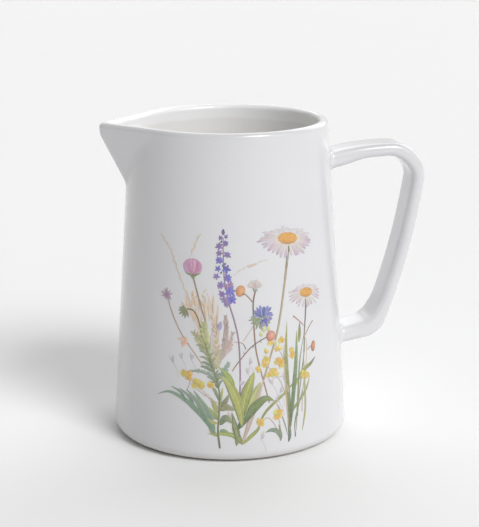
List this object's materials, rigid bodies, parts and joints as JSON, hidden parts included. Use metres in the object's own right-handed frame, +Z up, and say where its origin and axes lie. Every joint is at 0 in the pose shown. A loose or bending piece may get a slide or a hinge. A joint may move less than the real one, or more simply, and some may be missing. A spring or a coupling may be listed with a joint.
{
  "type": "ceramic pitcher",
  "caption": "White glazed table pitcher with a tapered body, a V-shaped pouring spout, a strap handle and a fired wildflower print.",
  "frame": {"origin": "on the body's centre line, in the plane that the foot ring stands on", "axes": "+Z up along the body's centre line, +X towards the handle, -X towards the spout, -Y is the printed side"},
  "size_m": [0.1799, 0.1312, 0.175],
  "materials": {
    "glaze": "glossy glaze",
    "bisque": "matt, unglazed",
    "petal_enamel": "glossy fired enamel",
    "disc_enamel": "glossy fired enamel",
    "violet_enamel": "glossy fired enamel",
    "pink_enamel": "glossy fired enamel",
    "blue_enamel": "glossy fired enamel",
    "berry_enamel": "glossy fired enamel",
    "yellow_enamel": "glossy fired enamel",
    "stem_enamel": "glossy fired enamel",
    "grass_enamel": "glossy fired enamel",
    "leaf_enamel": "glossy fired enamel",
    "foliage_enamel": "glossy fired enamel",
    "wisp_enamel": "glossy fired enamel"
  },
  "bodies": {
    "root": {"body": "glaze", "pouring_spout": "glaze", "handle": "glaze", "upper_handle_joint": "glaze", "lower_handle_joint": "glaze", "foot_ring": "bisque", "print_large_daisy": "petal_enamel", "print_small_daisy": "petal_enamel", "print_daisy_discs": "disc_enamel", "print_larkspur": "violet_enamel", "print_clover": "pink_enamel", "print_cornflower": "blue_enamel", "print_berries": "berry_enamel", "print_buttercups": "yellow_enamel", "print_flower_stems": "stem_enamel", "print_grass_blades": "grass_enamel", "print_broad_leaves": "leaf_enamel", "print_leafy_stems": "foliage_enamel", "print_seed_wisps": "wisp_enamel"}
  },
  "joints": []
}
